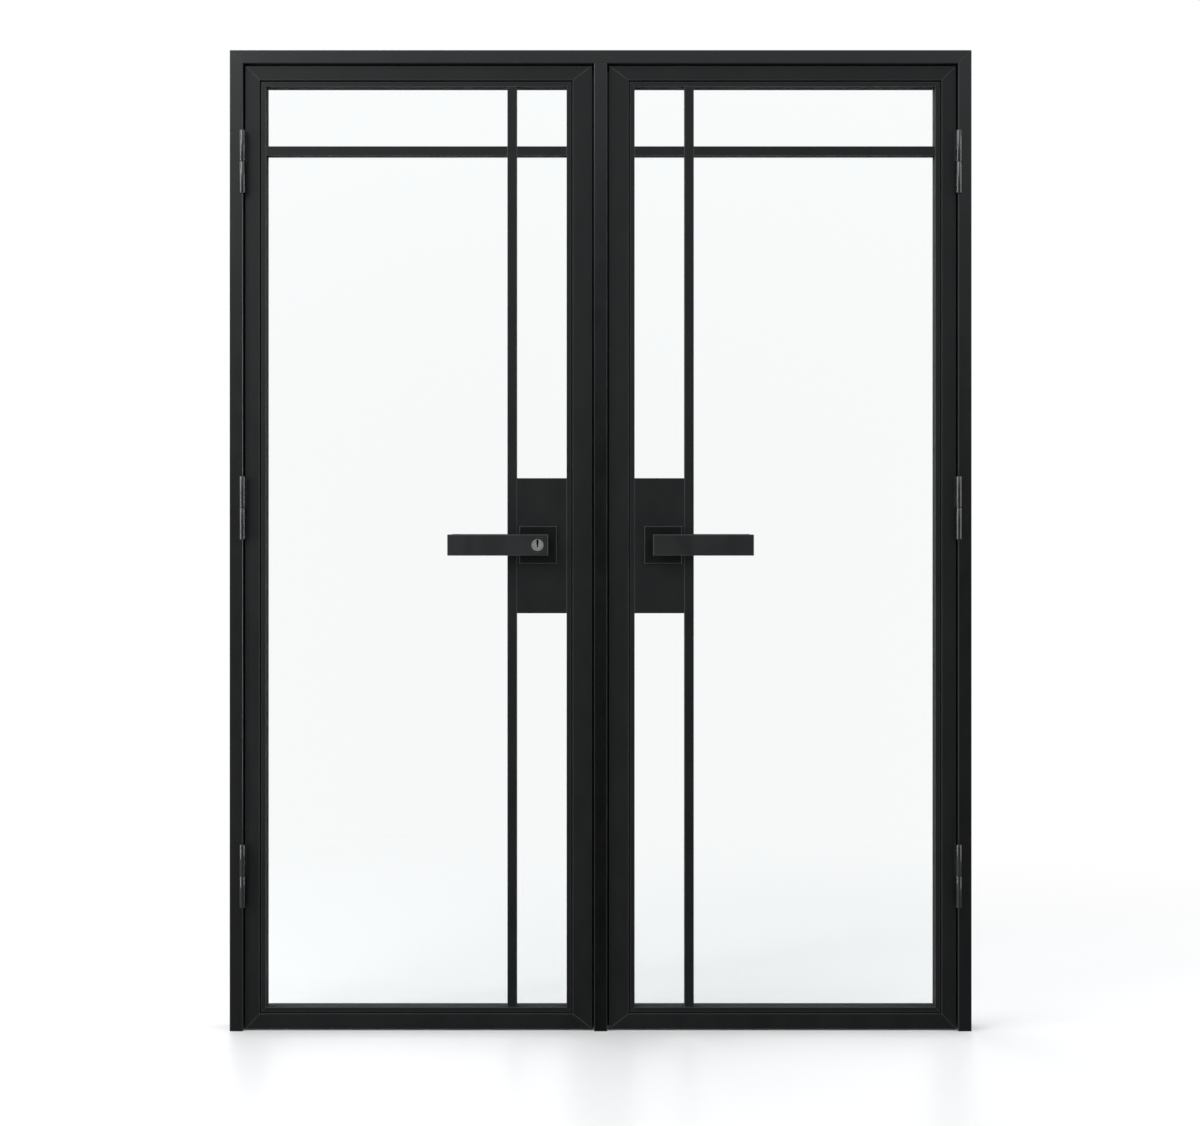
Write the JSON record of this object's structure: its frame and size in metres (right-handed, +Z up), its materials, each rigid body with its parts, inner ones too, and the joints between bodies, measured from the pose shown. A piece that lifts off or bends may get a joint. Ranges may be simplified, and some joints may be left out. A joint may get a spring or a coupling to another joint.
{
  "type": "pair of french doors with frame",
  "caption": "Glazed french doors with glazing bars, lock panels and flat bar levers, hung on barrel hinges in a slim steel frame with a fixed centre mullion.",
  "frame": {"origin": "under the middle of the centre mullion, on the floor", "axes": "+X to the right seen from outside, -Y out of the outside face, towards which the leaves open, +Z up"},
  "size_m": [1.588, 0.16, 2.1],
  "materials": {
    "frame_paint": "matte",
    "lever_paint": "satin",
    "hinge_steel": "satin",
    "clear_glass": "gloss",
    "black_rubber": "matte",
    "cylinder_metal": "satin",
    "zinc_steel": "satin",
    "washer_steel": "satin"
  },
  "bodies": {
    "frame": {"left_jamb": "frame_paint", "right_jamb": "frame_paint", "head": "frame_paint", "centre_mullion": "frame_paint", "door_stops": "frame_paint", "stop_seals": "black_rubber", "mullion_floor_bracket": "zinc_steel", "strike_plates": "zinc_steel", "frame_screws": "zinc_steel", "hinge_washers": "washer_steel", "left_hinge_frame_halves": "hinge_steel", "right_hinge_frame_halves": "hinge_steel"},
    "left_leaf": {"left_hinge_leaf_halves": "hinge_steel", "left_hinge_stile": "frame_paint", "left_meeting_stile": "frame_paint", "left_top_rail": "frame_paint", "left_bottom_rail": "frame_paint", "left_vertical_bar": "frame_paint", "left_horizontal_bars": "frame_paint", "left_glazing_beads": "frame_paint", "left_glazing_gaskets": "black_rubber", "left_top_wide_pane": "clear_glass", "left_top_narrow_pane": "clear_glass", "left_main_pane": "clear_glass", "left_upper_narrow_pane": "clear_glass", "left_lower_narrow_pane": "clear_glass", "left_lock_panel": "frame_paint", "left_lock_case": "zinc_steel", "left_faceplate": "zinc_steel", "left_leaf_screws": "zinc_steel", "left_roses": "lever_paint"},
    "right_leaf": {"right_hinge_leaf_halves": "hinge_steel", "right_hinge_stile": "frame_paint", "right_meeting_stile": "frame_paint", "right_top_rail": "frame_paint", "right_bottom_rail": "frame_paint", "right_vertical_bar": "frame_paint", "right_horizontal_bars": "frame_paint", "right_glazing_beads": "frame_paint", "right_glazing_gaskets": "black_rubber", "right_top_wide_pane": "clear_glass", "right_top_narrow_pane": "clear_glass", "right_main_pane": "clear_glass", "right_upper_narrow_pane": "clear_glass", "right_lower_narrow_pane": "clear_glass", "right_lock_panel": "frame_paint", "right_lock_case": "zinc_steel", "right_faceplate": "zinc_steel", "right_leaf_screws": "zinc_steel", "right_roses": "lever_paint"},
    "left_bolt": {"left_lock_bolt": "zinc_steel"},
    "left_levers": {"left_spindle": "zinc_steel", "left_front_lever": "lever_paint", "left_back_lever": "lever_paint", "key_cylinder": "cylinder_metal"},
    "right_bolt": {"right_lock_bolt": "zinc_steel"},
    "right_levers": {"right_spindle": "zinc_steel", "right_front_lever": "lever_paint", "right_back_lever": "lever_paint"},
    "key_plug": {"key_plug": "cylinder_metal"}
  },
  "joints": [
    {"name": "left_leaf_swing", "type": "hinge", "parent": "frame", "child": "left_leaf", "pos_m": [-0.766, -0.0465, 1], "axis": [0, 0, -1], "range_deg": [0, 150]},
    {"name": "right_leaf_swing", "type": "hinge", "parent": "frame", "child": "right_leaf", "pos_m": [0.766, -0.0465, 1], "axis": [0, 0, 1], "range_deg": [0, 150]},
    {"name": "left_lever_turn", "type": "hinge", "parent": "left_leaf", "child": "left_levers", "pos_m": [-0.134, -0.005, 1.041], "axis": [0, -1, 0], "range_deg": [-40, 40], "stiffness_Nm_per_rad": 5, "springref_deg": -5.73},
    {"name": "right_lever_turn", "type": "hinge", "parent": "right_leaf", "child": "right_levers", "pos_m": [0.134, -0.005, 1.041], "axis": [0, 1, 0], "range_deg": [-40, 40], "stiffness_Nm_per_rad": 5, "springref_deg": -5.73},
    {"name": "left_bolt_slide", "type": "slide", "parent": "left_leaf", "child": "left_bolt", "axis": [-1, 0, 0], "range_m": [-0.0111, 0.0111]},
    {"name": "right_bolt_slide", "type": "slide", "parent": "right_leaf", "child": "right_bolt", "axis": [1, 0, 0], "range_m": [-0.0111, 0.0111]},
    {"name": "key_turn", "type": "hinge", "parent": "left_levers", "child": "key_plug", "pos_m": [-0.134, -0.08, 1.041], "axis": [0, -1, 0], "range_deg": [0, 90]}
  ],
  "couplings": [
    {"joint": "left_bolt_slide", "follows": "left_lever_turn", "m_per_rad": 0.015756},
    {"joint": "right_bolt_slide", "follows": "right_lever_turn", "m_per_rad": 0.015756}
  ]
}
